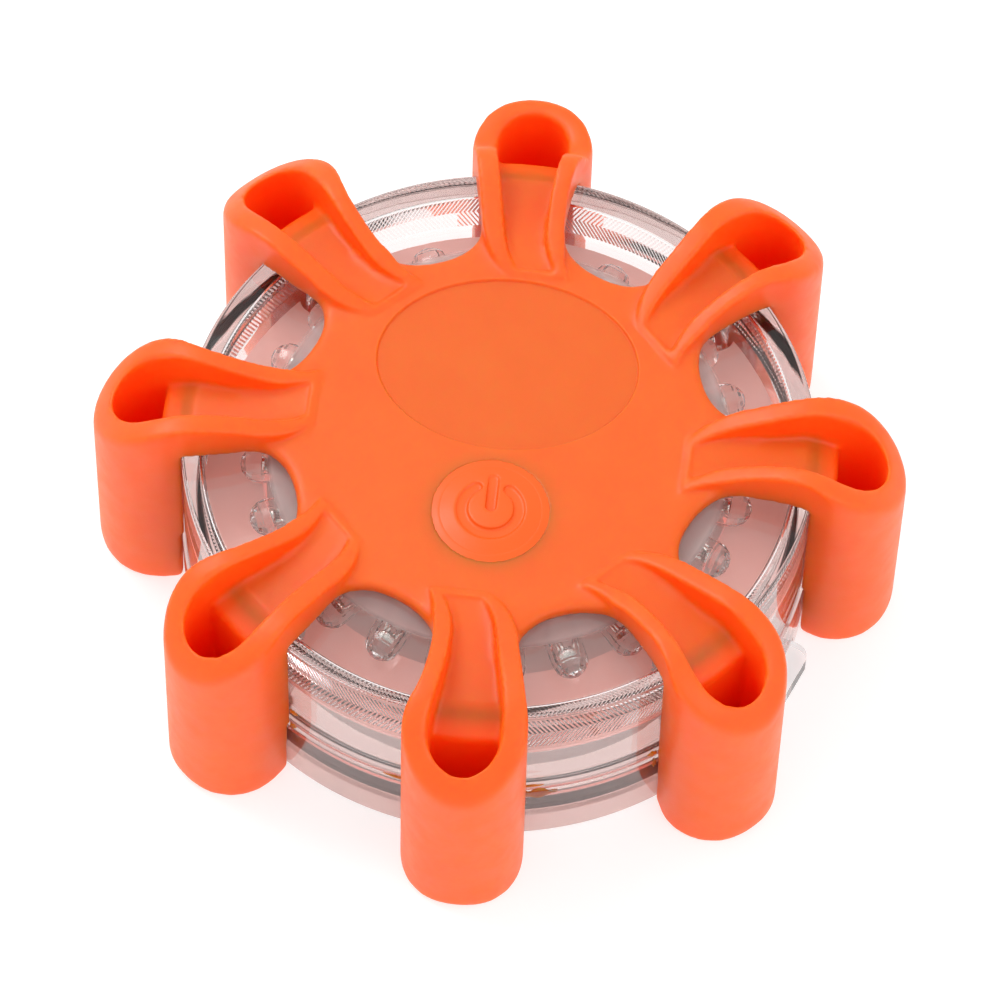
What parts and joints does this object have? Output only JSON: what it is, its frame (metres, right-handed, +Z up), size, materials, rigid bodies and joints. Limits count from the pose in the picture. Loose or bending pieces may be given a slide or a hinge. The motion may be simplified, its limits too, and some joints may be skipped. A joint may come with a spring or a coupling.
{
  "type": "led safety flare",
  "caption": "Round battery road flare: clear drum of side-facing LEDs in a rubber bumper shell with looped arms, press switch, magnet and fold-out hanging hook in the base.",
  "frame": {"origin": "middle of the footprint, on the surface that the feet stand on", "axes": "+Z up out of the top plate, -Y towards the power button, +X to the right seen from the button side"},
  "size_m": [0.106, 0.106, 0.0367],
  "materials": {
    "orange_rubber": "satin, slightly translucent moulded rubber",
    "clear_polycarbonate": "gloss clear moulded plastic",
    "clear_led": "gloss clear epoxy",
    "grey_gasket": "matte",
    "white_plastic": "satin moulded plastic",
    "black_plastic": "satin",
    "circuit_board": "white solder mask",
    "battery_wrap": "printed film with no lettering",
    "steel": "plated",
    "nickel": "plated",
    "magnet_nickel": "plated"
  },
  "bodies": {
    "flare": {"bumper_shell": "orange_rubber", "lens_drum": "clear_polycarbonate", "gasket_ring": "grey_gasket", "base_cover": "clear_polycarbonate", "hook_pin": "steel", "cover_screws": "nickel", "magnet_cup": "steel", "magnet": "magnet_nickel", "battery_tray": "white_plastic", "battery_cells": "battery_wrap", "cell_caps": "nickel", "contact_plates": "nickel", "contact_springs": "nickel", "terminal_pins": "nickel", "led_board": "circuit_board", "board_screws": "steel", "side_leds": "clear_led", "reflector_ring": "white_plastic", "switch_body": "black_plastic", "driver_chip": "black_plastic", "board_capacitor": "steel", "board_resistors": "black_plastic"},
    "button": {"button_pad": "orange_rubber", "button_pusher": "white_plastic"},
    "plunger": {"switch_plunger": "black_plastic"},
    "hook": {"hanging_hook": "clear_polycarbonate"}
  },
  "joints": [
    {"name": "button_press", "type": "slide", "parent": "flare", "child": "button", "axis": [0, 0, -1], "range_m": [0, 0.0008], "stiffness_N_per_m": 2500},
    {"name": "plunger_travel", "type": "slide", "parent": "flare", "child": "plunger", "axis": [0, 0, -1], "range_m": [0, 0.0003]},
    {"name": "hook_fold", "type": "hinge", "parent": "flare", "child": "hook", "pos_m": [0.01432, -0.00593, 0.002], "axis": [0.3827, 0.9239, 0], "range_deg": [0, 90]}
  ],
  "couplings": [
    {"joint": "plunger_travel", "follows": "button_press", "ratio": 0.375}
  ]
}
